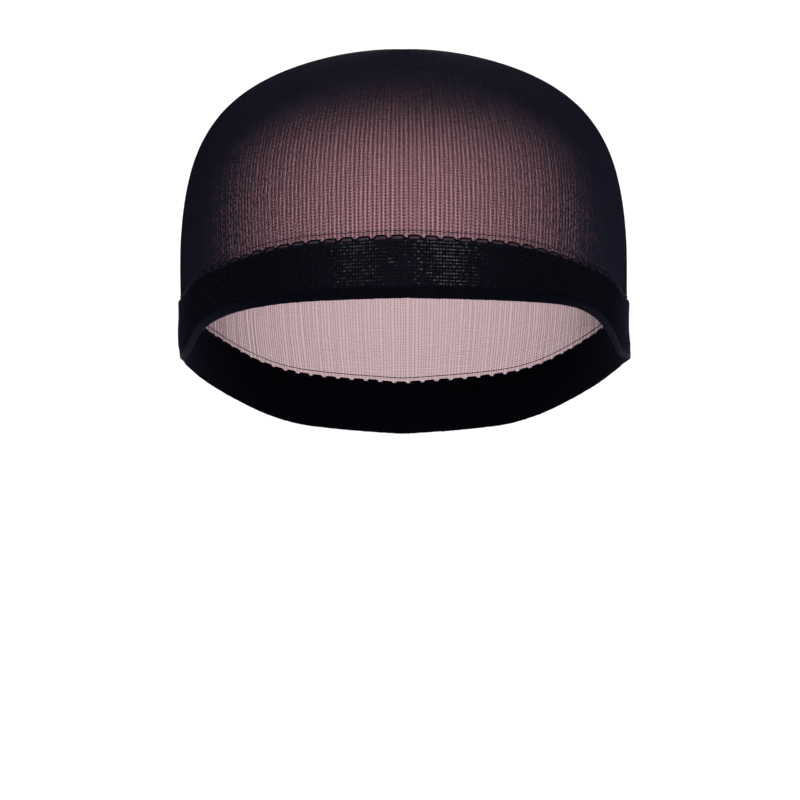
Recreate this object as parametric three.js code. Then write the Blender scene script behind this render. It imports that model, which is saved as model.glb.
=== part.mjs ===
// Nylon wig cap, kept in the form that it has when it is worn.
//
// Millimetres, +Z up. The wearer faces -Y. The origin is the point inside the crown
// where the top of the head touches the knit, so every other point hangs below it.
//
// The cap is two pieces. The crown is a thin knitted dome, and the band is the doubled
// elastic welt sewn to its lower edge. Both lie on one head form: a stack of level
// sections, each wider or narrower than the next, that a table describes.
import * as THREE from "three";

// The head form that the knit is stretched over
const headBreadth = 153; // side to side, above the ears
const foreheadReach = 94; // from the middle of the ears forward to the brow
const occiputReach = 94; // from the middle of the ears back
const widestSetBack = 8; // how far behind the ears' middle the head is widest
const crownRise = 72; // from the top of the head down to its widest level
const foreheadExponent = 2.35; // 2 is an oval brow, and more is a squarer one
const occiputExponent = 2.1;

// Where the rim runs, measured down from the top of the head
const browDrop = 88; // at the middle of the forehead
const earDrop = 106; // over the ears
const napeDrop = 133; // at the back of the neck

// The knit
const crownWall = 1; // sheer knit
const bandWall = 1.4; // doubled elastic welt
const bandHeight = 20;
const joinGap = 0.3; // between the crown's edge and the top of the band
const foldChamfer = 0.4; // on the edges of the welt, which is folded fabric

// Each ear's root pushes the rim outward where the band runs over it
const earAzimuth = 88; // degrees round from the brow
const earFlareRight = 3; // on the +X side
const earFlareLeft = 1.2;
const flareHeight = 11;
const flareSpread = 26; // degrees round the rim, either side of the ear

// How finely the curved walls are divided
const roundSteps = 72;
const crownSteps = 16;
const bandSteps = 4;

// The head's level sections from the top down. The first two columns give the level:
// rise is a share of crownRise, and skirt a share of what is left down to the nape.
// The others are shares of half the breadth, of the two reaches, and of how far the
// section has changed from a plain oval centred on the ears to the head's own plan.
const headSections = [
  { rise: 0, skirt: 0, breadth: 0, forehead: 0, occiput: 0, plan: 0 },
  { rise: 0.02, skirt: 0, breadth: 0.238, forehead: 0.2, occiput: 0.21, plan: 0 },
  { rise: 0.06, skirt: 0, breadth: 0.408, forehead: 0.345, occiput: 0.36, plan: 0.1 },
  { rise: 0.135, skirt: 0, breadth: 0.598, forehead: 0.505, occiput: 0.525, plan: 0.25 },
  { rise: 0.215, skirt: 0, breadth: 0.725, forehead: 0.62, occiput: 0.645, plan: 0.4 },
  { rise: 0.31, skirt: 0, breadth: 0.821, forehead: 0.725, occiput: 0.75, plan: 0.55 },
  { rise: 0.46, skirt: 0, breadth: 0.91, forehead: 0.848, occiput: 0.87, plan: 0.75 },
  { rise: 0.62, skirt: 0, breadth: 0.96, forehead: 0.928, occiput: 0.945, plan: 0.9 },
  { rise: 0.8, skirt: 0, breadth: 0.988, forehead: 0.978, occiput: 0.988, plan: 1 },
  { rise: 1, skirt: 0, breadth: 1, forehead: 1, occiput: 1, plan: 1 },
  { rise: 1, skirt: 0.3, breadth: 1, forehead: 1.004, occiput: 0.985, plan: 1 },
  { rise: 1, skirt: 0.6, breadth: 0.99, forehead: 0.99, occiput: 0.93, plan: 1 },
  { rise: 1, skirt: 1, breadth: 0.93, forehead: 0.96, occiput: 0.86, plan: 1 },
];

// The rim's course from the brow round to the nape, on both sides. The edge falls by
// toEar of the way from browDrop to earDrop, then by toNape of the way on to napeDrop.
// The welt, a share of bandHeight, is narrowest at the temples, where it is stretched
// round a corner. lean, a share of it too, is how much higher the edge rides on the +X
// side, and how much lower on the other.
const rimCourse = [
  { azimuth: 0, toEar: 0, toNape: 0, welt: 1, lean: 0 },
  { azimuth: 25, toEar: 0.05, toNape: 0, welt: 0.95, lean: 0.01 },
  { azimuth: 35, toEar: 0.1, toNape: 0, welt: 0.88, lean: 0.03 },
  { azimuth: 43, toEar: 0.17, toNape: 0, welt: 0.82, lean: 0.05 },
  { azimuth: 49, toEar: 0.29, toNape: 0, welt: 0.83, lean: 0.045 },
  { azimuth: 55, toEar: 0.47, toNape: 0, welt: 0.9, lean: 0.02 },
  { azimuth: 61, toEar: 0.72, toNape: 0, welt: 0.97, lean: 0 },
  { azimuth: 66, toEar: 0.96, toNape: 0, welt: 1, lean: 0 },
  { azimuth: 72, toEar: 1, toNape: 0, welt: 1, lean: 0 },
  { azimuth: 95, toEar: 1, toNape: 0.06, welt: 1, lean: 0 },
  { azimuth: 115, toEar: 1, toNape: 0.32, welt: 1, lean: 0 },
  { azimuth: 150, toEar: 1, toNape: 0.87, welt: 1, lean: 0 },
  { azimuth: 180, toEar: 1, toNape: 1, welt: 1, lean: 0 },
];

// Slack rucks of the knit in front of the ears. Azimuth is negative on the -X side.
// up is the height above the rim and spread the reach, as shares of bandHeight, and
// push stands out as a share of bandWall, or in where it is negative.
const rucks = [
  { azimuth: -88, up: 0.85, spread: 0.35, push: -0.4 },
  { azimuth: -88, up: 0.48, spread: 0.3, push: 0.4 },
  { azimuth: -88, up: 0.2, spread: 0.2, push: -0.4 },
];
const ruckWidth = 16; // degrees round the rim, either side

const degrees = THREE.MathUtils.degToRad;
const levelOf = (row) => row.rise * crownRise + row.skirt * (napeDrop - crownRise);

// A smooth curve through a table's column that never bulges past its rows
function curveThrough(rows, along, column) {
  const x = rows.map(along);
  const y = rows.map((row) => row[column]);
  const slope = x.slice(1).map((next, i) => (y[i + 1] - y[i]) / (next - x[i]));
  const tangent = x.map((_, i) => {
    const before = slope[Math.max(i - 1, 0)];
    const after = slope[Math.min(i, slope.length - 1)];
    return before * after > 0 ? (2 * before * after) / (before + after) : 0;
  });
  tangent[0] = slope[0];
  return (at) => {
    const last = x.length - 2;
    let i = x.findIndex((knot, k) => k > 0 && at <= knot) - 1;
    if (i < 0) i = at <= x[0] ? 0 : last;
    const width = x[i + 1] - x[i];
    const t = THREE.MathUtils.clamp((at - x[i]) / width, 0, 1);
    const ease = t * t * (3 - 2 * t);
    const bend = t * (1 - t) * ((1 - t) * tangent[i] - t * tangent[i + 1]) * width;
    return y[i] * (1 - ease) + y[i + 1] * ease + bend;
  };
}

// Near the top a section's width grows as the root of its depth, so the head's columns
// are read along that root, which makes the dome round there.
const byRoot = (row) => Math.sqrt(levelOf(row));
const headColumn = Object.fromEntries(
  ["breadth", "forehead", "occiput", "plan"].map((name) => [
    name,
    curveThrough(headSections, byRoot, name),
  ]),
);
const rimColumn = Object.fromEntries(
  ["toEar", "toNape", "welt", "lean"].map((name) => [
    name,
    curveThrough(rimCourse, (row) => row.azimuth, name),
  ]),
);

// Degrees round from the brow: from -180 to 180, positive on the +X side
const signedRound = (azimuth) => THREE.MathUtils.euclideanModulo(azimuth + 180, 360) - 180;
const roundFromBrow = (azimuth) => Math.abs(signedRound(azimuth));

// The course of the rim without its lean, which the top of the welt follows
function levelRimDown(azimuth) {
  const at = roundFromBrow(azimuth);
  return (
    browDrop +
    rimColumn.toEar(at) * (earDrop - browDrop) +
    rimColumn.toNape(at) * (napeDrop - earDrop)
  );
}

const rimDown = (azimuth) =>
  levelRimDown(azimuth) -
  Math.sign(signedRound(azimuth)) * rimColumn.lean(roundFromBrow(azimuth)) * bandHeight;

const weltTopDown = (azimuth) =>
  levelRimDown(azimuth) - bandHeight * rimColumn.welt(roundFromBrow(azimuth));

const bell = (distance, reach) => {
  const t = Math.min(Math.abs(distance) / reach, 1);
  return (1 - t * t) ** 2;
};

// How far the ears and the slack rucks move the knit out from the head
function pushedOut(azimuth, down) {
  const up = rimDown(azimuth) - down;
  const flare = Math.max(1 - up / flareHeight, 0) ** 2;
  const ear = bell(roundFromBrow(azimuth) - earAzimuth, flareSpread);
  const slack = rucks.reduce((sum, ruck) => {
    const around = signedRound(azimuth - ruck.azimuth);
    const above = up - ruck.up * bandHeight;
    return sum + ruck.push * bell(around, ruckWidth) * bell(above, ruck.spread * bandHeight);
  }, 0);
  const earFlare = signedRound(azimuth) > 0 ? earFlareRight : earFlareLeft;
  return earFlare * flare * ear + bandWall * slack;
}

// A point of the head form: azimuth degrees from the brow, and down from its top
function headPoint(azimuth, down) {
  const [sideways, forward] = [Math.sin(degrees(azimuth)), Math.cos(degrees(azimuth))];
  const at = Math.sqrt(down);
  const plan = headColumn.plan(at);
  const middle = plan * widestSetBack;
  const square = 2 + plan * ((forward > 0 ? foreheadExponent : occiputExponent) - 2);
  const reach =
    forward > 0
      ? headColumn.forehead(at) * foreheadReach + middle
      : headColumn.occiput(at) * occiputReach - middle;
  const bulge = (Math.abs(sideways) ** square + Math.abs(forward) ** square) ** (-1 / square);
  return new THREE.Vector3(
    (headColumn.breadth(at) * headBreadth * sideways * bulge) / 2,
    middle - reach * forward * bulge,
    -down,
  );
}

// The same point moved out along the head's own slope
function knitPoint(azimuth, down, out) {
  const turnStep = 0.5;
  const downStep = 0.2;
  const level = Math.max(down, 2 * downStep);
  const around = headPoint(azimuth + turnStep, level).sub(headPoint(azimuth - turnStep, level));
  const along = headPoint(azimuth, level + downStep).sub(headPoint(azimuth, level - downStep));
  const outward = along.cross(around).normalize();
  return headPoint(azimuth, down).addScaledVector(outward, out + pushedOut(azimuth, down));
}

// A closed skin over rings of points that run from one end to the other. A ring of one
// point is a pole. Without poles, the last ring joins the first.
function skin(rings) {
  const corners = [];
  const starts = rings.map((ring) => {
    const start = corners.length;
    corners.push(...ring);
    return start;
  });
  const faces = [];
  const joined = rings[0].length > 1;
  for (let r = 0; r < rings.length - (joined ? 0 : 1); r++) {
    const next = (r + 1) % rings.length;
    const [a, b] = [rings[r].length, rings[next].length];
    for (let i = 0; i < Math.max(a, b); i++) {
      const j = (i + 1) % Math.max(a, b);
      const here = starts[r] + (i % a);
      const beside = starts[r] + (j % a);
      const below = starts[next] + (i % b);
      const diagonal = starts[next] + (j % b);
      if (a > 1) faces.push(here, below, beside);
      if (b > 1) faces.push(beside, below, diagonal);
    }
  }
  const geometry = new THREE.BufferGeometry().setFromPoints(corners);
  geometry.setIndex(faces);
  geometry.computeVertexNormals();
  return geometry;
}

const azimuths = Array.from({ length: roundSteps }, (_, i) => (360 * i) / roundSteps);
const ringOf = (point) => azimuths.map(point);
const shares = (steps) => Array.from({ length: steps + 1 }, (_, i) => i / steps);

// The sheer dome: out over the head from the top to just above the welt, then back up inside
function crownGeometry() {
  const edgeDown = (azimuth) => weltTopDown(azimuth) - joinGap;
  const levels = shares(crownSteps).slice(1);
  const wall = (out) => (share) =>
    ringOf((azimuth) => knitPoint(azimuth, edgeDown(azimuth) * share ** 2, out));
  return skin([
    [new THREE.Vector3(0, 0, crownWall)],
    ...levels.map(wall(crownWall)),
    ...levels.reverse().map(wall(0)),
    [new THREE.Vector3(0, 0, 0)],
  ]);
}

// The elastic welt: its outside from top to fold, then its inside back up
function bandGeometry() {
  const height = (azimuth) => rimDown(azimuth) - weltTopDown(azimuth);
  const ring = (share, inset, out) =>
    ringOf((azimuth) =>
      knitPoint(azimuth, weltTopDown(azimuth) + inset + share * (height(azimuth) - 2 * inset), out),
    );
  const levels = shares(bandSteps);
  return skin([
    ring(0, 0, bandWall - foldChamfer),
    ...levels.map((share) => ring(share, foldChamfer, bandWall)),
    ring(1, 0, bandWall - foldChamfer),
    ring(1, 0, foldChamfer),
    ...levels.reverse().map((share) => ring(share, foldChamfer, 0)),
    ring(0, 0, foldChamfer),
  ]);
}

const sheerKnit = new THREE.MeshStandardMaterial({ color: "#2b2028", roughness: 0.6, metalness: 0 });
const elasticKnit = new THREE.MeshStandardMaterial({ color: "#101017", roughness: 0.75, metalness: 0 });

function piece(name, geometry, material) {
  const mesh = new THREE.Mesh(geometry, material);
  mesh.name = name;
  return mesh;
}

const wigCap = new THREE.Group();
wigCap.name = "wig_cap";
wigCap.add(piece("crown", crownGeometry(), sheerKnit));
wigCap.add(piece("band", bandGeometry(), elasticKnit));

export default wigCap;
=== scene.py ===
# %% [markdown]
# # A sheer wig cap
# A wig cap is a short tube of stretch knit, closed at one end and held by an elastic band at the
# other. Worn, it opens out: the band grips all round and the thin crown turns sheer. The frame holds
# its true size and worn form as two plain walls. This lesson lays the yarns into them.

# %% The frame
import math

import bmesh
import bpy
import numpy as np
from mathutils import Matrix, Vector
from mathutils.bvhtree import BVHTree


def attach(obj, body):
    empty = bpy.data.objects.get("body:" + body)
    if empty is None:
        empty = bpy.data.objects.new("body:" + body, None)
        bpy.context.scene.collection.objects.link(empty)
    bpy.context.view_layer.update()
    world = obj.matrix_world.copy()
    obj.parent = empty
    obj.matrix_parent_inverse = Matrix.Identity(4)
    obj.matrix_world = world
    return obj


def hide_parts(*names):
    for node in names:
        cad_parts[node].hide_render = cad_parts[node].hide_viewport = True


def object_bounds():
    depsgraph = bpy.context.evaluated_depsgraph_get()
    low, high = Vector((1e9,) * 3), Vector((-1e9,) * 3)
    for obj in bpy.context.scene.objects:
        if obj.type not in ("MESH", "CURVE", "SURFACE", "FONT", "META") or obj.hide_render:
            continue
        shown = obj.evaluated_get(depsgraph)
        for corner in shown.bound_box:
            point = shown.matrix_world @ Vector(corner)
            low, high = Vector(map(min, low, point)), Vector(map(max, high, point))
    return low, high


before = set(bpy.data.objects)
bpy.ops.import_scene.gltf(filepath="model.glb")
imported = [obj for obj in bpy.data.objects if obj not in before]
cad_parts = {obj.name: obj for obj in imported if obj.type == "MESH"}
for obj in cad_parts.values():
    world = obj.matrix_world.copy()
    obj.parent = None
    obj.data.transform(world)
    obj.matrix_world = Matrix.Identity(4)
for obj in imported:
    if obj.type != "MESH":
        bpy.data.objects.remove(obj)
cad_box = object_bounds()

MM = 0.001
low, high = (np.array(corner) for corner in cad_box)
print("cap, in mm:", np.round((high - low) / MM, 1))

# %% [markdown]
# ## Camera
# The picture is taken square from the front, from about a metre away, with the lens low down. So
# the camera sits below the rim's front, nearly as low as its back, and looks straight ahead, which
# keeps upright lines upright. A long lens gives the flat look of a product picture.

# %% Camera
CAMERA_AWAY = 1000 * MM
CAMERA_LEVEL = -119.9 * MM
PICTURE_PIXELS = 800
PIXELS_PER_MM = 2.88  # where the cap is widest
CAP_MIDDLE_PIXEL = 403.5
SENSOR = 36  # mm

camera = bpy.data.objects.new("camera", bpy.data.cameras.new("camera"))
bpy.context.scene.collection.objects.link(camera)
bpy.context.scene.camera = camera
to_the_left = (CAP_MIDDLE_PIXEL - PICTURE_PIXELS / 2) / PIXELS_PER_MM * MM
camera.location = (-to_the_left, -CAMERA_AWAY, CAMERA_LEVEL)
camera.rotation_euler = (math.radians(90), 0, 0)
camera.data.sensor_width = SENSOR
camera.data.lens = SENSOR * PIXELS_PER_MM * CAMERA_AWAY / MM / PICTURE_PIXELS
camera.data.clip_start = 10 * MM
print("lens:", round(camera.data.lens, 1), "mm")

# %% [markdown]
# ## The worn form, felt with rays
# Both walls lie on one form, and every yarn has to lie on it too. A copy of the walls' corners
# would tie the yarns to the way that the walls are divided. Rays are freer: from a point inside the
# cap they feel how far away the inner wall is in each direction. A map of those distances, kept by
# turn (round from the front) and tilt (down from the top), gives the form at any place.

# %% Trees of the walls
def wall_tree(*names):
    corners, faces = [], []
    for name in names:
        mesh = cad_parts[name].data
        faces += [[corner + len(corners) for corner in face.vertices] for face in mesh.polygons]
        corners += [corner.co.copy() for corner in mesh.vertices]
    return BVHTree.FromPolygons(corners, faces)


LEVEL_OF_EYE = 0.54  # of the cap's depth, where the form is widest
eye = Vector((0, (low[1] + high[1]) / 2, low[2] * LEVEL_OF_EYE))
whole = wall_tree("crown", "band")
print("rays start at", [round(value / MM, 1) for value in eye], "mm")


# %% The map of distances
def heading(turn, tilt):
    """Unit vectors: turn is the angle round from the front, tilt the angle down from the top."""
    flat = np.sin(tilt)
    return np.stack([flat * np.sin(turn), -flat * np.cos(turn), np.cos(tilt)], axis=-1)


TURNS, TILTS = 180, 100
LOWEST_TILT = math.radians(140)
turns = np.arange(TURNS) * 2 * math.pi / TURNS
tilts = np.linspace(0, LOWEST_TILT, TILTS)
reach = np.full((TURNS, TILTS), np.nan)
for i, turn in enumerate(turns):
    for j, tilt in enumerate(tilts):
        distance = whole.ray_cast(eye, Vector(heading(turn, tilt)))[3]
        reach[i, j] = np.nan if distance is None else distance
print("rays that met the wall:", int(np.isfinite(reach).sum()), "of", reach.size)

# %% [markdown]
# Rays below the rim meet nothing. The wall is carried on past the rim along its last slope, so that
# smoothing doesn't pull the edge in. A small soft filter then rounds off the flat facets.

# %% Carry on past the rim, then smooth
SLOPE_TILTS, CARRIED_TILTS = 4, 6  # the slope is taken over 4 tilts and carried on for 6
for row in reach:
    last = np.flatnonzero(np.isfinite(row))[-1] - 1
    gaps = np.isnan(row[:last])
    row[:last][gaps] = np.interp(np.flatnonzero(gaps), np.flatnonzero(~gaps), row[:last][~gaps])
    slope = (row[last] - row[last - SLOPE_TILTS]) / SLOPE_TILTS
    row[last:] = row[last] + slope * np.minimum(np.arange(TILTS - last), CARRIED_TILTS)

SOFT = np.array([1, 4, 6, 4, 1]) / 16  # weights of a place and of two neighbours on each side


def smoothed(values, closed):
    """The values along the first axis, each averaged with its neighbours."""
    edge = "wrap" if closed else "edge"
    padded = np.pad(values, [(2, 2)] + [(0, 0)] * (values.ndim - 1), mode=edge)
    return sum(weight * padded[k : k + len(values)] for k, weight in enumerate(SOFT))


reach = smoothed(reach, closed=True)
reach = smoothed(reach.T, closed=False).T
reach[:, 0] = reach[:, 1].mean()
print("reach, in mm:", round(reach.min() / MM, 1), "to", round(reach.max() / MM, 1))


# %% [markdown]
# A wale runs from the rim right over the top, so places are better given on a flat map without a
# seam or a pole in the way: the top of the cap is at (0, 0), the front lies towards minus y and
# the distance from the middle is the tilt. A point is then lifted off the form along its normal.

# %% Places on the form
NORMAL_STEP = 0.03  # radians to each side, over which a normal is felt


def form_point(places):
    """The form's points under places (x, y) of the flat map."""
    x, y = places[..., 0], places[..., 1]
    turn, tilt = np.arctan2(x, -y) % (2 * math.pi), np.hypot(x, y)
    i, j = turn / turns[1], np.minimum(tilt / tilts[1], TILTS - 1.001)
    i0, j0 = np.floor(i).astype(int), np.floor(j).astype(int)
    a, b = i - i0, j - j0
    i0, i1 = i0 % TURNS, (i0 + 1) % TURNS
    near = reach[i0, j0] * (1 - b) + reach[i0, j0 + 1] * b
    far = reach[i1, j0] * (1 - b) + reach[i1, j0 + 1] * b
    return np.array(eye) + heading(turn, tilt) * (near * (1 - a) + far * a)[..., None]


def unit(vectors):
    return vectors / np.linalg.norm(vectors, axis=-1, keepdims=True)


def outward(places):
    """The form's unit normals there."""
    sideways, lengthways = [NORMAL_STEP, 0], [0, NORMAL_STEP]
    across = form_point(places + sideways) - form_point(places - sideways)
    along = form_point(places + lengthways) - form_point(places - lengthways)
    return unit(np.cross(across, along))


def knit_point(places, out):
    """Points of the knit, a distance out from the form."""
    return form_point(places) + outward(places) * np.asarray(out)[..., None]


print("top of the form, in mm:", np.round(form_point(np.zeros(2)) / MM, 2))

# %% [markdown]
# ## The edges of the band
# Where the band starts and ends is felt the same way, with rays that meet the band alone: along
# each turn, the first and the last tilt at which a ray still hits it.

# %% Feel the edges
band_tree = wall_tree("band")


def meets_band(turn, tilt):
    return band_tree.ray_cast(eye, Vector(heading(turn, tilt)))[0] is not None


def edge_tilt(turn, inside, outside):
    """Halves the gap between a tilt that meets the band and one that doesn't."""
    for _ in range(9):
        middle = (inside + outside) / 2
        if meets_band(turn, middle):
            inside = middle
        else:
            outside = middle
    return inside


top_tilt, rim_tilt = np.zeros(TURNS), np.zeros(TURNS)
for i, turn in enumerate(turns):
    met = [tilt for tilt in tilts if meets_band(turn, tilt)]
    top_tilt[i] = edge_tilt(turn, met[0], met[0] - tilts[1])
    rim_tilt[i] = edge_tilt(turn, met[-1], met[-1] + tilts[1])
top_tilt, rim_tilt = smoothed(top_tilt, True), smoothed(rim_tilt, True)
front_side_back = rim_tilt[[0, TURNS // 4, TURNS // 2]]
print("rim tilt at the front, side and back:", np.round(np.degrees(front_side_back), 1))


# %% Places measured from the band
def on_turn(turn, values):
    """A curve of the turn, read at any turn."""
    return np.interp(turn, turns, values, period=2 * math.pi)


def map_place(turn, tilt):
    return np.stack([tilt * np.sin(turn), -tilt * np.cos(turn)], axis=-1)


def band_place(turn, share):
    """Share 0 is the band's top edge and share 1 the rim. Less than 0 is on the crown."""
    top, rim = on_turn(turn, top_tilt), on_turn(turn, rim_tilt)
    return map_place(turn, top + (rim - top) * share)


LINE_POINTS = 1441  # one each quarter of a degree
fine_turns = np.linspace(0, 2 * math.pi, LINE_POINTS)
band_top_line = form_point(band_place(fine_turns, np.zeros(LINE_POINTS)))
run = np.append(0, np.cumsum(np.linalg.norm(np.diff(band_top_line, axis=0), axis=1)))
rim_line = form_point(band_place(fine_turns, np.ones(LINE_POINTS)))
front_height = np.linalg.norm(band_top_line[0] - rim_line[0])
print("band:", round(run[-1] / MM), "mm round its top,", round(front_height / MM, 1), "mm high in front")


# %% [markdown]
# ## One mesh builder
# Yarns, threads and the band are all the same thing to a mesh: a line of points with a section
# round each. One function turns such a grid into a closed mesh. It also writes a flat layout, in
# which each yarn is a strip of its own, for when the finish is painted on to the mesh.

# %% Builder
def tubes(name, grid, loop, hollow=True):
    """A mesh of many tubes. The grid's axes are: tube, point along it, corner of the section, xyz."""
    count, points, corners, _ = grid.shape
    steps = points if loop else points - 1
    sides = corners if hollow else corners - 1
    tube, point, corner = np.meshgrid(np.arange(count), np.arange(steps), np.arange(sides), indexing="ij")
    index = lambda p, c: ((tube * points + p % points) * corners + c % corners).ravel()
    round_a_face = [(point, corner), (point + 1, corner), (point + 1, corner + 1), (point, corner + 1)]
    quads = np.stack([index(p, c) for p, c in round_a_face], 1)
    strip = lambda p, c: np.stack([((tube + c / corners) / count).ravel(), (p / steps).ravel()], 1)
    layout = np.stack([strip(p, c) for p, c in round_a_face], 1).reshape(-1, 2)
    faces = quads.tolist()
    if not loop:
        starts = np.arange(count)[:, None] * points * corners + np.arange(corners)
        faces += starts.tolist() + (starts + (points - 1) * corners)[:, ::-1].tolist()
        ends = np.repeat((np.arange(2 * count) % count + 0.5) / count, corners)
        layout = np.append(layout, np.stack([ends, np.full(len(ends), 0.5)], 1), axis=0)
    mesh = bpy.data.meshes.new(name)
    mesh.from_pydata(grid.reshape(-1, 3).tolist(), [], faces, shade_flat=False)
    mesh.uv_layers.new(name="OFBake").uv.foreach_set("vector", layout.ravel())
    piece = bpy.data.objects.new(name, mesh)
    bpy.context.scene.collection.objects.link(piece)
    triangles = sum(len(face) - 2 for face in faces)
    print(f"{name}: {count} tubes, {triangles} triangles")
    return piece


# %% Sections of a yarn
BOX = np.array([(-1, -1), (1, -1), (1, 1), (-1, 1)]) / 2
TRIANGLE = np.array([(-1, -1), (1, -1), (0, 1)]) / 2
ROUND = np.stack([np.cos(np.arange(6) * math.pi / 3), np.sin(np.arange(6) * math.pi / 3)], 1) / 2


def yarn_grid(lines, normals, section, width, depth, loop):
    """Sections round lines of points: width lies along the form, depth away from it."""
    before, after = np.roll(lines, 1, axis=1), np.roll(lines, -1, axis=1)
    if not loop:
        before[:, 0], after[:, -1] = lines[:, 0], lines[:, -1]
    across = unit(np.cross(after - before, normals))
    wide = across[:, :, None] * section[:, :1] * np.asarray(width)[..., None, None]
    deep = normals[:, :, None] * section[:, 1:] * np.asarray(depth)[..., None, None]
    return lines[:, :, None] + wide + deep


# %% [markdown]
# ## Wales
# The crown is weft knitted, so its loops stand in columns, the wales, which show as fine upright
# ribs. Stretched, they lie about 1.4 mm apart in front and closer at the back, where the knit is
# slacker. A tube of knit is closed by a plain seam across the cap, behind the top, and every wale
# ends there: those from the front at its front edge and the others at its back one.

# %% Where the wales stand
rng = np.random.default_rng(11)
FRONT_PITCH, BACK_PITCH = 1.4 * MM, 1.05 * MM
SLACK_FROM, SLACK_OVER = 0.42, 0.45  # shares of the way from the front to the back


def slackness(turn):
    """How slack the knit is: 0 in front, 1 at the back."""
    return np.clip(((1 - np.cos(turn)) / 2 - SLACK_FROM) / SLACK_OVER, 0, 1)


pitch = FRONT_PITCH + (BACK_PITCH - FRONT_PITCH) * slackness(fine_turns)
crowd = np.append(0, np.cumsum(np.diff(run) / ((pitch[1:] + pitch[:-1]) / 2)))
wales = int(round(crowd[-1] / 2)) * 2
FRONT_JITTER, BACK_JITTER = 0.07, 0.25  # of a pitch
even_turn = np.interp(np.arange(wales) * crowd[-1] / wales, crowd, fine_turns)
jitter = FRONT_JITTER + (BACK_JITTER - FRONT_JITTER) * slackness(even_turn)
numbers = np.arange(wales) + rng.uniform(-1, 1, wales) * jitter
wale_turn = np.interp(numbers * crowd[-1] / wales, crowd, fine_turns)
slack = slackness(wale_turn)
print("wales:", wales)

# %% The seam's two edges
SEAM_HALF = 50 * MM
SEAM_BACK = 26 * MM  # behind the top
top_radius = reach[:, :8].mean()
seam_x, seam_y = SEAM_HALF / top_radius, SEAM_BACK / top_radius
SEAM_TURN = math.radians(100)  # wales nearer the front than this end at its front edge
round_from_front = (wale_turn + math.pi) % (2 * math.pi) - math.pi
in_front = np.abs(round_from_front) < SEAM_TURN
share_of_seam = np.where(
    in_front,
    round_from_front / SEAM_TURN,
    np.sign(round_from_front) * (math.pi - np.abs(round_from_front)) / (math.pi - SEAM_TURN),
)
SEAM_GAP = 0.4 * MM / top_radius
wale_end = np.stack([share_of_seam * seam_x, seam_y + np.where(in_front, -SEAM_GAP, SEAM_GAP)], axis=1)
print("wales that end in front of the seam:", int(in_front.sum()))

# %% The wales' lines
TUCK = 0.075  # of the band's height, under its top edge
WALE_POINTS = 121
wale_start = band_place(wale_turn, np.full(wales, TUCK))
fine_share = np.linspace(0, 1, WALE_POINTS)[:, None]
fine_places = wale_start[:, None] * (1 - fine_share) + wale_end[:, None] * fine_share
fine_points = form_point(fine_places)
wale_run = np.cumsum(np.linalg.norm(np.diff(fine_points, axis=1), axis=2), axis=1)
wale_run = np.append(np.zeros((wales, 1)), wale_run, axis=1)


def wale_places(shares):
    """Places on the flat map, each wale's own shares of its length from the band to the seam."""
    found = np.empty(shares.shape + (2,))
    for w in range(wales):
        at = np.interp(shares[w] * wale_run[w, -1], wale_run[w], fine_share[:, 0])[:, None]
        found[w] = wale_start[w] * (1 - at) + wale_end[w] * at
    return found


wale_length = wale_run[:, -1]
print("wale length, in mm:", np.round(wale_length.min() / MM), "to", np.round(wale_length.max() / MM))

# %% [markdown]
# A rib is one wale's heap of loops. In real knit it isn't quite straight, least so where the knit
# is slack. Each rib is a thin upright fin, much deeper than it is wide: seen square on it hides
# little, and seen from the side it hides a lot, which is what darkens the cap towards its outline.
# Two finer yarns run between each rib and the next and deepen that fall into the dark.

# %% Where the ribs run
RIB_STEPS = 40
FRONT_SWAY, SLACK_SWAY = 0.08 * MM, 0.2 * MM
share = np.broadcast_to(np.linspace(0, 1, RIB_STEPS), (wales, RIB_STEPS))
aside = unit((wale_end - wale_start)[:, ::-1] * [1, -1])[:, None]
sway = smoothed(rng.normal(0, 1 / top_radius, (RIB_STEPS, wales)), closed=False).T
sway = sway * (FRONT_SWAY + (SLACK_SWAY - FRONT_SWAY) * slack[:, None])
rib_places = wale_places(share) + aside * sway[:, :, None]

# %% Lay the ribs
RIB_WIDTH, RIB_DEPTH = 0.08 * MM, 0.3 * MM
SLACK_WIDTH, SLACK_DEPTH = 0.45, 0.4  # what is left of them where the knit is slack
SEAM_WIDTH = 0.6  # and at the seam
RIB_OUT = 0.6 * MM
TOP_LIFT = 0.5 * MM  # the crown stands a little off the form's top
LIFTED_AT = 0.5  # share of a wale's length at which it has risen all of that
UNEVEN = 0.15  # share by which the ribs' widths differ
lift = TOP_LIFT * np.clip(share / LIFTED_AT, 0, 1)
rib_width = RIB_WIDTH * (1 - (1 - SEAM_WIDTH) * share**1.5) * (1 - (1 - SLACK_WIDTH) * slack[:, None])
rib_width = rib_width * rng.uniform(1 - UNEVEN, 1 + UNEVEN, (wales, 1))
rib_depth = np.broadcast_to(RIB_DEPTH * (1 - (1 - SLACK_DEPTH) * slack[:, None]), share.shape)
rib_lines = knit_point(rib_places, RIB_OUT + lift)
rib_grid = yarn_grid(rib_lines, outward(rib_places), TRIANGLE, rib_width, rib_depth, False)
ribs = tubes("rib_yarns", rib_grid, loop=False)

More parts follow.
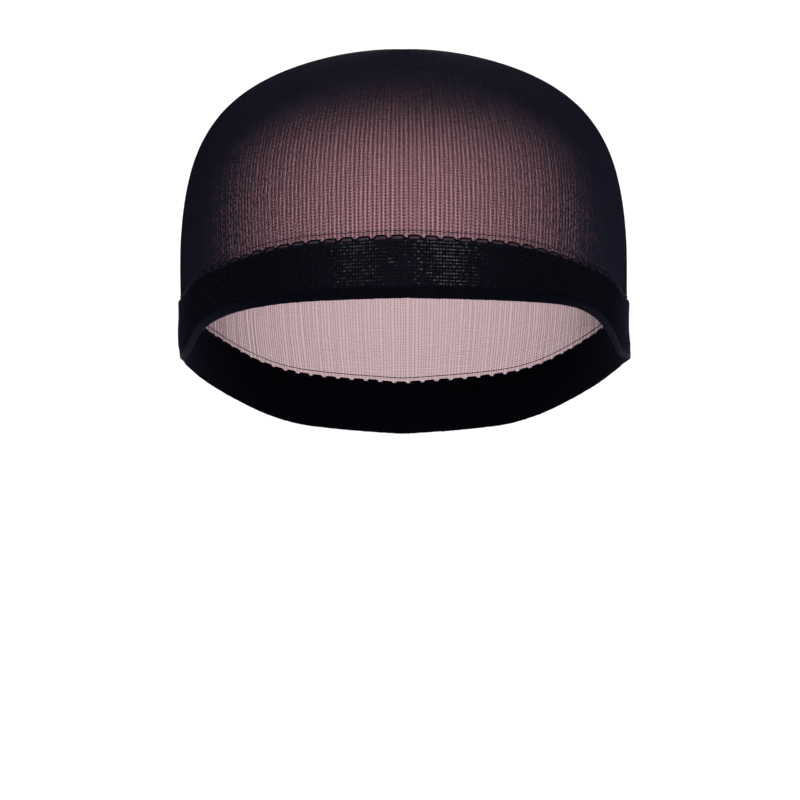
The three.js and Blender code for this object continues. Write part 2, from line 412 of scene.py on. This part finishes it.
# %% Finer yarns between the ribs
FINE_BETWEEN = (1 / 3, 2 / 3)  # of the way from a rib to the next
FINE_WIDTH, FINE_DEPTH = 0.05 * MM, 0.26 * MM
SLACK_FINE = 0.15  # what is left of them where the knit is slack
FINE_OUT = 0.5 * MM
next_places = np.roll(rib_places, -1, axis=0)
fine = np.concatenate([rib_places * (1 - part) + next_places * part for part in FINE_BETWEEN])
fine, fine_lift = fine[:, ::2], np.tile(lift[:, ::2], (len(FINE_BETWEEN), 1))
fine_lines = knit_point(fine, FINE_OUT + fine_lift)
fine_size = np.tile(1 - (1 - SLACK_FINE) * slack, len(FINE_BETWEEN))[:, None]
fine_width, fine_depth = FINE_WIDTH * fine_size, FINE_DEPTH * fine_size
fine_grid = yarn_grid(fine_lines, outward(fine), TRIANGLE, fine_width, fine_depth, False)
fine_yarns = tubes("fine_yarns", fine_grid, loop=False)

# %% [markdown]
# ## Courses
# The yarn itself runs round the cap, row after row, and loops up and down as it passes the wales.
# Each course crosses every wale at the same share of its length. In front the rows are about 1.2 mm
# apart. The real yarn is about 0.05 mm thick, which is less than a pixel, so it is drawn coarser.

# %% Lay the courses
COURSES = 190
FIRST_ROW = 0.6  # of a row's height up from where the wales start
TOP_CLOSENESS = 1.6  # how much closer the rows lie on top than in front
CLOSE_FROM = 0.38  # share of a wale's length above which they do
COURSE_WIDTH, COURSE_DEPTH = 0.09 * MM, 0.13 * MM
COURSE_OUT = 0.5 * MM
LOOP_SWING = 0.16  # of the space between two rows
FRONT_WANDER, SLACK_WANDER = 0.03, 0.2

steady = np.linspace(0, 1, 201)
closeness = 1 + (TOP_CLOSENESS - 1) * np.clip(steady / CLOSE_FROM, 0, 1)
row_number = np.append(0, np.cumsum((closeness[1:] + closeness[:-1]) / 2))
row_number = row_number * COURSES / row_number[-1]
swing = np.where(np.arange(wales) % 2 == 0, LOOP_SWING, -LOOP_SWING)[:, None]
wander = FRONT_WANDER + (SLACK_WANDER - FRONT_WANDER) * slack[:, None]
wander = smoothed(rng.normal(0, 1, (wales, COURSES)), closed=True) * wander
shares = np.interp(np.arange(COURSES) + FIRST_ROW + swing + wander, row_number, steady)
places = wale_places(shares).transpose(1, 0, 2)
course_lines = knit_point(places, COURSE_OUT + TOP_LIFT * np.clip(shares.T / LIFTED_AT, 0, 1))
course_width = np.broadcast_to(COURSE_WIDTH * (1 - (1 - SLACK_WIDTH) * slack), places.shape[:2])
course_grid = yarn_grid(course_lines, outward(places), TRIANGLE, course_width, COURSE_DEPTH, True)
third = COURSES // 3 + 1
courses = [
    tubes(name, course_grid[k * third : (k + 1) * third], loop=True)
    for k, name in enumerate(("course_yarns_low", "course_yarns_middle", "course_yarns_high"))
]
first_row = np.interp(1, row_number, steady)
print("rows in front are", round(wale_length[0] * first_row / MM, 2), "mm apart")

# %% [markdown]
# ## The ground between the yarns
# Between a rib and the next, real knit has more filaments, a few hundredths of a millimetre thick.
# They are far too fine to draw, but they are what makes the crown sheer and not see-through. One
# film stands for them. It remembers how closely the wales crowd at each place, how plainly they
# show and which row it is in, so that its finish can be denser on a wale and at each row. Over the
# top 40 mm it is also made denser, as painted shade for the darkening where the cap turns away.

# %% Lay the film
GROUND_OUT = 0.45 * MM
CROWDING_POWER = 1.2
TOP_PAINTED_SHADE, TOP_SHADE_ZONE = 34, 40 * MM  # painted shade: the film is made denser over the top
LEAST_CROWDING, MOST_CROWDING = 0.7, 6
SLACK_RIBBED = 0.3  # how plainly the wales still show in the film where the knit is slack
film_points = knit_point(rib_places, GROUND_OUT + lift)
spacing = np.linalg.norm(np.roll(film_points, -1, axis=0) - np.roll(film_points, 1, axis=0), axis=2) / 2
crowding = np.clip(FRONT_PITCH / spacing, LEAST_CROWDING, MOST_CROWDING)
for _ in range(3):
    crowding = smoothed(crowding, True)
# painted shade: over the top 40 mm the film is made denser, so the top looks darker
height = np.clip(1 + film_points[:, :, 2] / TOP_SHADE_ZONE, 0, 1)
film_values = {
    "crowding_and_top_shade": crowding**CROWDING_POWER + TOP_PAINTED_SHADE * height**3,
    "ribbed": np.broadcast_to(1 - (1 - SLACK_RIBBED) * slack[:, None], share.shape),
    "row": np.interp(share, steady, row_number) + swing,
}
ground = tubes("sheer_ground", film_points[None], loop=True, hollow=False)
for name, values in film_values.items():
    ground.data.attributes.new(name, "FLOAT", "POINT").data.foreach_set("value", values.ravel())
front_and_back = film_values["crowding_and_top_shade"][[0, wales // 2], 0]
print("fullness in front and at the back:", np.round(front_and_back, 2))

# %% [markdown]
# ## The band
# The band is the same knit with elastic laid in: close, ridged rows, folded over at the rim and
# sewn to itself, so it is thick and lets no light through. Its thirteen rows are about 1.1 mm
# apart. A section of the band goes once round the cap, with the rows as low ridges.

# %% The band's section
BAND_ROWS = 13
JOIN_SHARE = 0.045  # of the band's height, where the crown laps over it
ROWS_START, ROWS_END = 0.07, 0.79  # below them is the smooth fold
ROW_RELIEF = 0.2 * MM
BAND_OUT = 1.3 * MM
ROW_POINTS = 4

row_phase = np.arange(BAND_ROWS * ROW_POINTS + 1) / ROW_POINTS
row_share = ROWS_START + row_phase / BAND_ROWS * (ROWS_END - ROWS_START)
crest = np.sin(row_phase % 1 * math.pi) ** 0.7
fold_angle = np.linspace(math.radians(10), math.radians(170), 9)
fold_share = 1 - 0.035 * (1 - np.sin(fold_angle)) - 0.004
fold_out = (0.5 + 0.5 * np.cos(fold_angle)) * (BAND_OUT - 0.1 * MM) + 0.1 * MM
flat_share = np.array([0.83, 0.87, 0.91, 0.945])
inner_share = np.linspace(0.93, JOIN_SHARE, 10)
outline_share = np.concatenate([[JOIN_SHARE], row_share, flat_share, fold_share, inner_share])
outline_out = np.concatenate(
    [
        [0.8 * MM],
        BAND_OUT - ROW_RELIEF * (1 - crest),
        BAND_OUT - np.array([0.12, 0.06, 0.03, 0.02]) * MM,
        fold_out,
        np.full(len(inner_share), 0.05 * MM),
    ]
)
print("points in the band's section:", len(outline_share))

# %% Knit the band
LOOP_PITCH = 1.0 * MM
RIM_FUZZ = 0.05 * MM
loops = int(round(run[-1] / LOOP_PITCH))
loop_turn = np.interp(np.arange(loops) / loops * run[-1], run, fine_turns)
turn_grid, share_grid = np.meshgrid(loop_turn, outline_share, indexing="ij")
fuzz = rng.normal(0, RIM_FUZZ / front_height, turn_grid.shape) * (share_grid > 0.95)
places = band_place(turn_grid, share_grid + fuzz)
band_grid = knit_point(places, np.broadcast_to(outline_out, turn_grid.shape))[None]
band = tubes("elastic_band", band_grid, loop=True)

# %% [markdown]
# ## Elastic and loops
# Along each ridge lies a flat elastic yarn. It is smoother than the rest, so it is what shines. It
# isn't seen whole: every millimetre a matt loop of the ground crosses over it, which leaves a row
# of short dashes. Each dash is tilted a little its own way, so some catch the light and some don't.

# %% Lay in the elastic
ELASTIC_WIDTH, ELASTIC_DEPTH = 0.36 * MM, 0.2 * MM
ELASTIC_OUT = 1.28 * MM
ELASTIC_TILT = 0.07  # radians, about 4 degrees
elastic_share = ROWS_START + (np.arange(BAND_ROWS) + 0.5) / BAND_ROWS * (ROWS_END - ROWS_START)
elastic_share, turn_grid = np.meshgrid(elastic_share, loop_turn, indexing="ij")
places = band_place(turn_grid, elastic_share)
tilted = unit(outward(places) + rng.normal(0, ELASTIC_TILT, places.shape[:2] + (3,)))
elastic_rise = rng.normal(0, ELASTIC_TILT / 2, places.shape[:2]) * LOOP_PITCH
elastic_lines = knit_point(places, ELASTIC_OUT + elastic_rise)
elastic_grid = yarn_grid(elastic_lines, tilted, BOX, ELASTIC_WIDTH, ELASTIC_DEPTH, True)
elastic = tubes("elastic_yarns", elastic_grid, loop=True)
elastic.data.shade_flat()

# %% Cross it with loops
LEG_WIDTH, LEG_DEPTH = 0.7 * MM, 0.5 * MM
LEG_OUT = 1.35 * MM
LEG_STEPS = 12
LEG_START, LEG_END = ROWS_START - 0.01, 0.93  # of the band's height
LEG_SINK = 0.25 * MM  # into the smooth fold, below the rows
leg_share, leg_turn = np.meshgrid(np.linspace(LEG_START, LEG_END, LEG_STEPS), loop_turn)
places = band_place(leg_turn, leg_share)
leg_lines = knit_point(places, LEG_OUT - LEG_SINK * (leg_share > ROWS_END))
leg_width = LEG_WIDTH * rng.uniform(0.8, 1.2, (loops, LEG_STEPS))
leg_grid = yarn_grid(leg_lines, outward(places), TRIANGLE, leg_width, LEG_DEPTH, False)
loop_legs = tubes("band_loops", leg_grid, loop=False)

# %% [markdown]
# ## Stitching
# The crown laps over the band and is joined to it by a stepped stitch: up, along, down and along
# again. The crown's doubled edge shows under each step as a grey patch. Just above it runs one
# fine line, the last firm row of that turned edge.

# %% Join stitch
STITCH_PITCH = 5.3 * MM
STITCH_STEPS = [
    {"along": 0.0, "up": 0.0},
    {"along": 0.2, "up": 0.0},
    {"along": 0.27, "up": 0.15},
    {"along": 0.33, "up": 0.85},
    {"along": 0.39, "up": 1.0},
    {"along": 0.9, "up": 1.0},
    {"along": 0.96, "up": 0.85},
    {"along": 1.0, "up": 0.15},
]
THREAD = 0.6 * MM
STEP_LOW = 1.15  # where its lower run lies, in laps below the top edge of the band
THREAD_LOW, THREAD_HIGH = 1.35 * MM, 1.05 * MM  # off the form, on the band and on the crown
stitches = int(round(run[-1] / STITCH_PITCH))
step_along = np.array([step["along"] for step in STITCH_STEPS])
rise = np.tile([step["up"] for step in STITCH_STEPS], stitches)
rise = rise * np.repeat(rng.uniform(0.85, 1.1, stitches), len(STITCH_STEPS))
stitch_run = (np.arange(stitches)[:, None] + step_along).ravel() / stitches
stitch_turn = np.interp(stitch_run * run[-1], run, fine_turns)
stitch_share = JOIN_SHARE * (STEP_LOW - rise)
places = band_place(stitch_turn, stitch_share)[None]
stitch_lines = knit_point(places, (THREAD_LOW + (THREAD_HIGH - THREAD_LOW) * rise)[None])
stitch_grid = yarn_grid(stitch_lines, outward(places), ROUND, THREAD, THREAD, True)
join_stitch = tubes("join_stitch", stitch_grid, loop=True)

# %% Doubled edge under the stitch
PATCH_DOWN = (0, 0.03, 0.062)  # shares of the band's height
PATCH_OUT = np.array([0.95, 1.1, 1.15]) * MM
patch_places = [band_place(stitch_turn, np.maximum(stitch_share, down)) for down in PATCH_DOWN]
patch_places = np.stack(patch_places, axis=1)
patch_grid = knit_point(patch_places, np.broadcast_to(PATCH_OUT, patch_places.shape[:2]))
doubled_edge = tubes("doubled_edge", patch_grid[None], loop=True, hollow=False)

# %% Turned edge
EDGE_UP = 1.45 * MM
EDGE_YARN = 0.3 * MM
EDGE_OUT = 0.8 * MM


def band_height(turn):
    """The band's height at each turn, measured on the form."""
    top, rim = band_place(turn, np.zeros(len(turn))), band_place(turn, np.ones(len(turn)))
    return np.linalg.norm(form_point(top) - form_point(rim), axis=1)


places = band_place(loop_turn, -EDGE_UP / band_height(loop_turn))[None]
edge_line = knit_point(places, np.full(places.shape[:2], EDGE_OUT))
edge_grid = yarn_grid(edge_line, outward(places), ROUND, EDGE_YARN, EDGE_YARN, True)
turned_edge = tubes("turned_edge", edge_grid, loop=True)

# %% [markdown]
# ## The closing seam
# The seam across the crown is plain: the two edges are laid together and bound with close
# overlock stitches. A low cord carries it, and a thread winds round the cord.

# %% Seam cord
CORD = 1.9 * MM
CORD_OUT = 1.05 * MM
FLATNESS = 0.62  # of the cord's width
SEAM_POINTS = 60
PAST_THE_WALES = 1.02  # times the seam's length
seam_share = np.linspace(-1, 1, SEAM_POINTS)
seam_places = np.stack([seam_share * seam_x * PAST_THE_WALES, np.full(SEAM_POINTS, seam_y)], axis=1)[None]
taper = np.sqrt(np.clip(1.02 - seam_share**8, 0.05, 1))[None]  # thins out in the last tenth
seam_line = knit_point(seam_places, np.full((1, SEAM_POINTS), CORD_OUT))
cord_grid = yarn_grid(seam_line, outward(seam_places), ROUND, CORD * taper, CORD * FLATNESS * taper, False)
seam_cord = tubes("seam_cord", cord_grid, loop=False)

# %% Seam binding
BINDING_PITCH = 1.3 * MM
BINDING_YARN = 0.3 * MM
BINDING_ASIDE, BINDING_UP = 0.52, 0.34  # of the cord's width, so that it just lies on the cord
POINTS_A_WINDING = 8
windings = int(2 * SEAM_HALF / BINDING_PITCH)
turns_round = np.linspace(0, windings, windings * POINTS_A_WINDING + 1)
at = np.interp(turns_round / windings, (seam_share + 1) / 2, np.arange(SEAM_POINTS))
lower = np.floor(np.minimum(at, SEAM_POINTS - 1.001)).astype(int)
part = (at - lower)[:, None]
spine = seam_line[0][lower] * (1 - part) + seam_line[0][lower + 1] * part
up = unit(outward(seam_places)[0][lower])
side = unit(np.cross(np.gradient(spine, axis=0), up))
angle = (turns_round * 2 * math.pi)[:, None]
binding_out = np.cos(angle) * side * CORD * BINDING_ASIDE + np.sin(angle) * up * CORD * BINDING_UP
binding_line = (spine + binding_out)[None]
binding_grid = yarn_grid(binding_line, unit(binding_out)[None], ROUND, BINDING_YARN, BINDING_YARN, False)
seam_binding = tubes("seam_binding", binding_grid, loop=False)

# %% [markdown]
# ## Finishes
# All of it is nylon, dyed black. A heap of black filaments looks blue-black and nearly matt, but a
# thin veil of them lets some light through, and that light comes out a dusky rose, because the dye
# stops green and blue more than red. So the film is see-through and tinted, and its tint and its
# darkness both grow as the wales crowd. Over the top its darkness is also painted in, as shade.
# The ribs, courses and threads are heaps, and opaque.

# %% Colours and nodes
def linear(code):
    """An sRGB hex colour as linear RGBA."""
    channels = [int(code[k : k + 2], 16) / 255 for k in (1, 3, 5)]
    return [c / 12.92 if c <= 0.04045 else ((c + 0.055) / 1.055) ** 2.4 for c in channels] + [1]


def add(tree, kind, settings=None, inputs=None, links=None):
    """Adds a node. Settings are its properties, inputs its own values and links what feeds it."""
    node = tree.nodes.new(kind)
    for name, value in (settings or {}).items():
        setattr(node, name, value)
    for name, value in (inputs or {}).items():
        node.inputs[name].default_value = value
    for name, source in (links or {}).items():
        tree.links.new(source, node.inputs[name])
    return node


def new_material(name):
    material = bpy.data.materials.new(name)
    material.use_nodes = True
    tree = material.node_tree
    tree.nodes.clear()
    return material, tree


def speckled(name, specks_per_metre, detail, darker, lighter, surface):
    """An opaque finish that wavers between two near blacks, as dyed filaments do."""
    material, tree = new_material(name)
    coords = add(tree, "ShaderNodeTexCoord")
    noise = {"Scale": specks_per_metre, "Detail": detail}
    specks = add(tree, "ShaderNodeTexNoise", inputs=noise, links={"Vector": coords.outputs["Object"]})
    tones = {"A": linear(darker), "B": linear(lighter)}
    tone = add(tree, "ShaderNodeMix", {"data_type": "RGBA"}, tones, {"Factor": specks.outputs["Fac"]})
    knit = add(tree, "ShaderNodeBsdfPrincipled", inputs=surface)
    tree.links.new(tone.outputs["Result"], knit.inputs["Base Color"])
    add(tree, "ShaderNodeOutputMaterial", links={"Surface": knit.outputs["BSDF"]})
    print(name, "wavers about every", round(1000 / specks_per_metre, 1), "mm")
    return material


# %% [markdown]
# Black nylon yarn, for the ribs, courses, seam and turned edge: a loose bundle of drawn filaments,
# dyed through. The light goes in between them and little comes out, so the yarn is almost black,
# a little blue, and has no shine of its own. Its streaks are really some 0.05 mm apart, which is
# too fine to show, so they are drawn about 1 mm apart.

# %% Black nylon yarn
NYLON_IOR = 1.53
nylon_yarn = speckled(
    "black_nylon_multifilament_yarn",
    specks_per_metre=900,
    detail=2,
    darker="#07080d",
    lighter="#0e0e19",
    surface={"IOR": NYLON_IOR, "Roughness": 0.5, "Specular IOR Level": 0.01},
)

# %% [markdown]
# Sheer nylon film, for the ground: single filaments with air between them. It lets light straight
# through and dyes it. It is darkest on a wale and on a row of loops, where filaments lie on each
# other. Where the wales crowd, less of it stays open, and over the top less of it is left open as
# painted shade. The rest is a matt black heap.

# %% Sheer nylon film
BETWEEN_WALES, ON_A_WALE = "#e9cdd0", "#8b6e76"  # white light after one layer
OPEN_SHARE = 0.92  # of the film where the wales lie at their widest
BEAD = 0.28  # how much denser it is on a row of loops
WALE_SHARPNESS = 3.0  # how narrow the dark of a wale is
EVEN_DENSITY = 0.424  # what a ribbed film comes to on the whole, for where no ribs show
sheer_nylon, tree = new_material("sheer_black_nylon_filaments")
layout = add(tree, "ShaderNodeUVMap", {"uv_map": "OFBake"})
split = add(tree, "ShaderNodeSeparateXYZ", links={"Vector": layout.outputs["UV"]})
half_turn = math.pi * wales
wale_angle = add(tree, "ShaderNodeMath", {"operation": "MULTIPLY"}, {1: half_turn}, {0: split.outputs["Y"]})
wale_wave = add(tree, "ShaderNodeMath", {"operation": "COSINE"}, links={0: wale_angle.outputs["Value"]})
on_wale = add(tree, "ShaderNodeMath", {"operation": "POWER"}, {1: WALE_SHARPNESS})
size_of_wave = add(tree, "ShaderNodeMath", {"operation": "ABSOLUTE"}, links={0: wale_wave.outputs["Value"]})
tree.links.new(size_of_wave.outputs["Value"], on_wale.inputs[0])
row = add(tree, "ShaderNodeAttribute", {"attribute_name": "row"})
row_angle = add(tree, "ShaderNodeMath", {"operation": "MULTIPLY"}, {1: 2 * math.pi}, {0: row.outputs["Fac"]})
row_wave = add(tree, "ShaderNodeMath", {"operation": "COSINE"}, links={0: row_angle.outputs["Value"]})
beads = add(tree, "ShaderNodeMath", {"operation": "MULTIPLY_ADD"}, {1: BEAD}, {0: row_wave.outputs["Value"]})
tree.links.new(on_wale.outputs["Value"], beads.inputs[2])
shown = add(tree, "ShaderNodeAttribute", {"attribute_name": "ribbed"})
density = add(tree, "ShaderNodeMix", {"data_type": "FLOAT"}, {"A": EVEN_DENSITY})
tree.links.new(shown.outputs["Fac"], density.inputs["Factor"])
tree.links.new(beads.outputs["Value"], density.inputs["B"])
tints = {"A": linear(BETWEEN_WALES), "B": linear(ON_A_WALE)}
tint = add(tree, "ShaderNodeMix", {"data_type": "RGBA"}, tints, {"Factor": density.outputs["Result"]})
# painted shade: this attribute also darkens the film over the top, besides the wales' crowding
full = add(tree, "ShaderNodeAttribute", {"attribute_name": "crowding_and_top_shade"})
still_open = add(tree, "ShaderNodeMath", {"operation": "POWER"}, {0: OPEN_SHARE}, {1: full.outputs["Fac"]})
veil = add(tree, "ShaderNodeBsdfTransparent", links={"Color": tint.outputs["Result"]})
heap_finish = {"Base Color": linear("#0d0d17"), "Roughness": 0.6, "Specular IOR Level": 0.01}
heap = add(tree, "ShaderNodeBsdfPrincipled", inputs=heap_finish)
film = add(tree, "ShaderNodeMixShader", links={"Fac": still_open.outputs["Value"]})
tree.links.new(heap.outputs["BSDF"], film.inputs[1])
tree.links.new(veil.outputs["BSDF"], film.inputs[2])
add(tree, "ShaderNodeOutputMaterial", links={"Surface": film.outputs["Shader"]})

# %% [markdown]
# Dense elastic knit, for the band and its loops: textured nylon knitted closely over elastane. It
# swallows nearly all light. A trace of bluish fuzz shows only where one looks along the surface,
# at the band's far sides. The flecks are loops that lie a little differently, 2 mm apart.

# %% Dense elastic knit
LOOSE_IOR = 1.03  # a loose heap of filaments is mostly air
elastic_knit = speckled(
    "dense_elastane_and_nylon_knit",
    specks_per_metre=500,
    detail=3,
    darker="#000001",
    lighter="#020204",
    surface={"IOR": LOOSE_IOR, "Roughness": 0.6, "Sheen Weight": 0.016, "Sheen Tint": linear("#c4c0ff")},
)

# %% [markdown]
# Covered elastic yarn: elastane with nylon wound closely round it. That makes it the smoothest
# thing on the cap, so it catches the soft boxes as small dim glints. The winding, 0.1 mm apart,
# is too fine to show and is drawn about 1.4 mm apart.

# %% Covered elastic yarn
covered_elastic = speckled(
    "nylon_covered_elastane_yarn",
    specks_per_metre=700,
    detail=1,
    darker="#010102",
    lighter="#050507",
    surface={"IOR": NYLON_IOR, "Roughness": 0.22, "Specular IOR Level": 0.016},
)

# %% [markdown]
# Doubled sheer knit, for the patches under the stitch: the crown's own knit, folded once and seen
# against the band. It looks a dusty dark grey, quite matt, and a little uneven.

# %% Doubled sheer knit
doubled_sheer = speckled(
    "doubled_sheer_nylon_knit",
    specks_per_metre=600,
    detail=2,
    darker="#0f0b10",
    lighter="#22191d",
    surface={"Roughness": 0.8, "Specular IOR Level": 0.02},
)


# %% Dress the pieces
def dress(piece, node, material):
    piece.data.materials.append(material)
    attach(piece, "root")
    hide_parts(node)


dress(ground, "crown", sheer_nylon)
for piece in (ribs, fine_yarns, *courses, seam_cord, seam_binding, turned_edge):
    dress(piece, "crown", nylon_yarn)
dress(doubled_edge, "crown", doubled_sheer)
for piece in (join_stitch, band, loop_legs):
    dress(piece, "band", elastic_knit)
dress(elastic, "band", covered_elastic)

# %% [markdown]
# ## Studio
# A product picture on white: a pale floor that curves up into a pale wall all round, so that it
# looks the same from every side, an even soft light, and two large soft boxes in front.

# %% Floor and wall
FLOOR_LEVEL = -0.32
ROUND_STEPS = 96
MERGE_UNDER = 1e-5
FLOOR_RADIUS, COVE_RADIUS, WALL_HEIGHT = 2.0, 0.5, 1.6
sweep = [math.radians(a) for a in range(0, 91, 10)]
profile = [(0.0, 0.0), (FLOOR_RADIUS, 0.0)]
profile += [(FLOOR_RADIUS + COVE_RADIUS * math.sin(a), COVE_RADIUS * (1 - math.cos(a))) for a in sweep[1:]]
profile += [(FLOOR_RADIUS + COVE_RADIUS, WALL_HEIGHT)]
studio_mesh = bpy.data.meshes.new("studio")
studio_build = bmesh.new()
corners = [studio_build.verts.new((r, 0, FLOOR_LEVEL + z)) for r, z in profile]
edges = [studio_build.edges.new(pair) for pair in zip(corners, corners[1:])]
bmesh.ops.spin(
    studio_build,
    geom=corners + edges,
    cent=(0, 0, 0),
    axis=(0, 0, 1),
    angle=2 * math.pi,
    steps=ROUND_STEPS,
    use_merge=True,
)
bmesh.ops.remove_doubles(studio_build, verts=studio_build.verts, dist=MERGE_UNDER)
bmesh.ops.recalc_face_normals(studio_build, faces=studio_build.faces)
studio_build.to_mesh(studio_mesh)
studio_build.free()
studio_mesh.shade_smooth()
studio = bpy.data.objects.new("studio", studio_mesh)
bpy.context.scene.collection.objects.link(studio)

paper, tree = new_material("matt_backdrop_paper")
matt = add(tree, "ShaderNodeBsdfPrincipled", inputs={"Base Color": linear("#fafafa"), "Roughness": 0.95})
add(tree, "ShaderNodeOutputMaterial", links={"Surface": matt.outputs["BSDF"]})
studio_mesh.materials.append(paper)

# %% Light
SKY_STRENGTH = 1.08
SOFT_BOX_HEIGHT = 0.18
SOFT_BOXES = [
    {"name": "soft_box_left", "place": (-0.22, -0.72, 0.045), "width": 0.1, "power": 5},
    {"name": "soft_box_right", "place": (0.19, -0.72, 0.045), "width": 0.16, "power": 10},
]
BAND_MIDDLE = Vector((0, 0, -0.078))
world = bpy.data.worlds.new("studio")
world.use_nodes = True
world.node_tree.nodes["Background"].inputs["Color"].default_value = (1, 1, 1, 1)
world.node_tree.nodes["Background"].inputs["Strength"].default_value = SKY_STRENGTH
bpy.context.scene.world = world

for box in SOFT_BOXES:
    light = bpy.data.objects.new(box["name"], bpy.data.lights.new(box["name"], "AREA"))
    light.data.energy = box["power"]
    light.data.shape = "RECTANGLE"
    light.data.size, light.data.size_y = box["width"], SOFT_BOX_HEIGHT
    light.location = box["place"]
    light.rotation_euler = (Vector(box["place"]) - BAND_MIDDLE).to_track_quat("Z", "Y").to_euler()
    light.visible_camera = False
    bpy.context.scene.collection.objects.link(light)
bpy.context.scene.view_settings.view_transform = "Standard"
